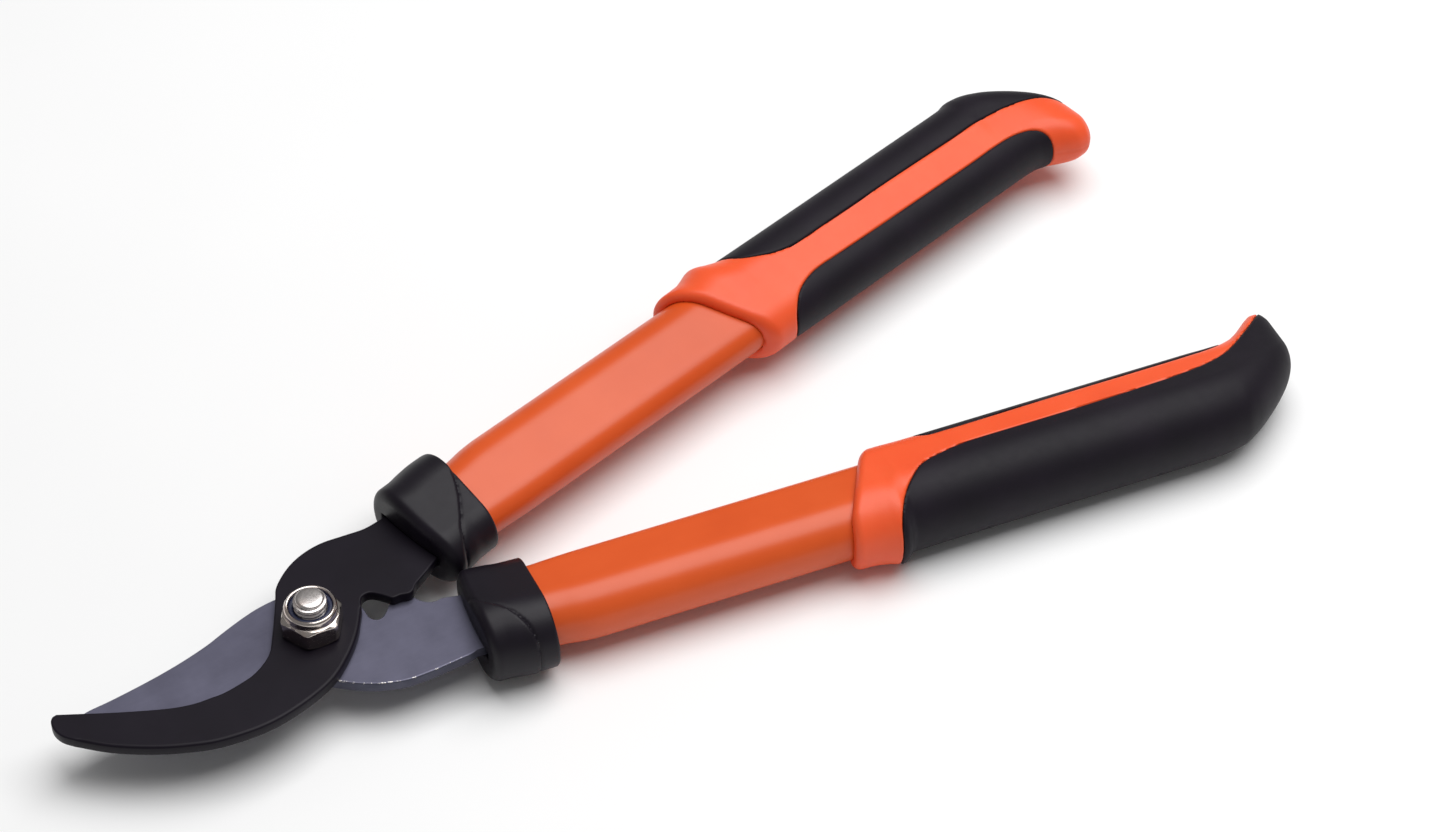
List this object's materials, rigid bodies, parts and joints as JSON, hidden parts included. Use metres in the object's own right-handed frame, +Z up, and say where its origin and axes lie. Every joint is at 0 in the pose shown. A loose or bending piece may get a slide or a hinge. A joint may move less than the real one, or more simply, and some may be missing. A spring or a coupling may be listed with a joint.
{
  "type": "bypass lopper",
  "caption": "Short two-handed bypass lopper: a curved blade slides past a hooked jaw on one bolt and lock nut; oval tube handles with soft two-part grips.",
  "frame": {"origin": "centre of the bolt head's flat underside, on the pivot axis", "axes": "+X along the middle of the two closed handles, away from the jaws; +Y towards the hook jaw's handle; +Z up the pivot axis towards the nut"},
  "size_m": [0.4031, 0.1722, 0.0331],
  "materials": {
    "blade_steel": "fine ground, blue grey, lightly worn",
    "black_coated_steel": "satin black baked coating",
    "zinc_steel": "bright zinc plate",
    "nylon_blue": "smooth dark blue nylon",
    "grey_nylon": "plain moulded, hidden",
    "rivet_steel": "plain, hidden",
    "orange_paint": "glossy orange powder coat",
    "black_plastic": "satin moulded",
    "orange_plastic": "semi-gloss moulded",
    "black_rubber": "soft, fine matt texture"
  },
  "bodies": {
    "hook_half": {"hook_jaw": "black_coated_steel", "pivot_bolt": "zinc_steel", "head_washer": "zinc_steel", "pivot_nut": "zinc_steel", "nut_insert": "nylon_blue", "upper_tang_plug": "grey_nylon", "upper_rivets": "rivet_steel", "upper_tube": "orange_paint", "upper_ferrule": "black_plastic", "upper_grip_core": "orange_plastic", "upper_outer_pad": "black_rubber", "upper_inner_pad": "black_rubber"},
    "blade_half": {"cutting_blade": "blade_steel", "lower_tang_plug": "grey_nylon", "lower_rivets": "rivet_steel", "lower_tube": "orange_paint", "lower_ferrule": "black_plastic", "lower_grip_core": "orange_plastic", "lower_outer_pad": "black_rubber", "lower_inner_pad": "black_rubber"}
  },
  "joints": [
    {"name": "jaw_pivot", "type": "hinge", "parent": "hook_half", "child": "blade_half", "pos_m": [0, 0, 0.012], "axis": [0, 0, -1], "range_deg": [0, 60]}
  ]
}
